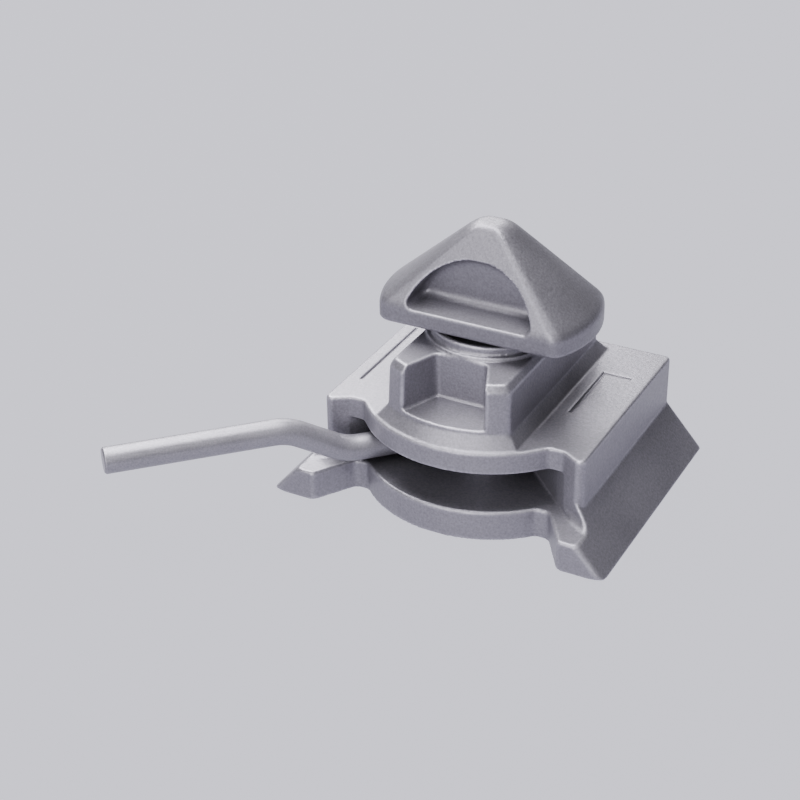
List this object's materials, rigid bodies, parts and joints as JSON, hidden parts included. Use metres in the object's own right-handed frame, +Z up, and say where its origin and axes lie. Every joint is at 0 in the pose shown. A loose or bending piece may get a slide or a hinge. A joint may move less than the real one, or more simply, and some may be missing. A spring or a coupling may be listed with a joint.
{
  "type": "container twistlock",
  "caption": "Cast twistlock with dovetail base, turning locking cone and bent lever, for stowing freight containers on a ship's deck.",
  "frame": {"origin": "where the spindle's axis meets the flat underside", "axes": "+Z up along the spindle, X across the dovetail (the handle rests on the -X side, locked), -Y towards the open front of the handle slot, which is how it is pulled out of its foundation"},
  "size_m": [0.2201, 0.2013, 0.1325],
  "materials": {
    "cast_steel": "blasted and galvanised, fine matt grain",
    "forged_steel": "blasted and galvanised, fine matt grain",
    "bar_steel": "galvanised round bar, satin",
    "machined_steel": "turned and galvanised",
    "washer_steel": "ground flat",
    "spring_steel": "dark spring steel",
    "ball_steel": "polished bearing ball"
  },
  "bodies": {
    "housing": {"housing": "cast_steel", "thrust_washer": "washer_steel", "detent_plug": "machined_steel", "detent_spring": "spring_steel"},
    "cone": {"locking_cone": "forged_steel", "spindle_hub": "machined_steel", "handle": "bar_steel", "handle_pin": "spring_steel"},
    "detent": {"detent_ball": "ball_steel"}
  },
  "joints": [
    {"name": "spindle_turn", "type": "hinge", "parent": "housing", "child": "cone", "pos_m": [0, 0, 0.03], "axis": [0, 0, 1], "range_deg": [0, 90]},
    {"name": "ball_slide", "type": "slide", "parent": "housing", "child": "detent", "axis": [0, 0, 1], "range_m": [-0.0005, 0], "stiffness_N_per_m": 2000, "springref_m": 0.002, "deforming": ["detent_spring"]}
  ]
}
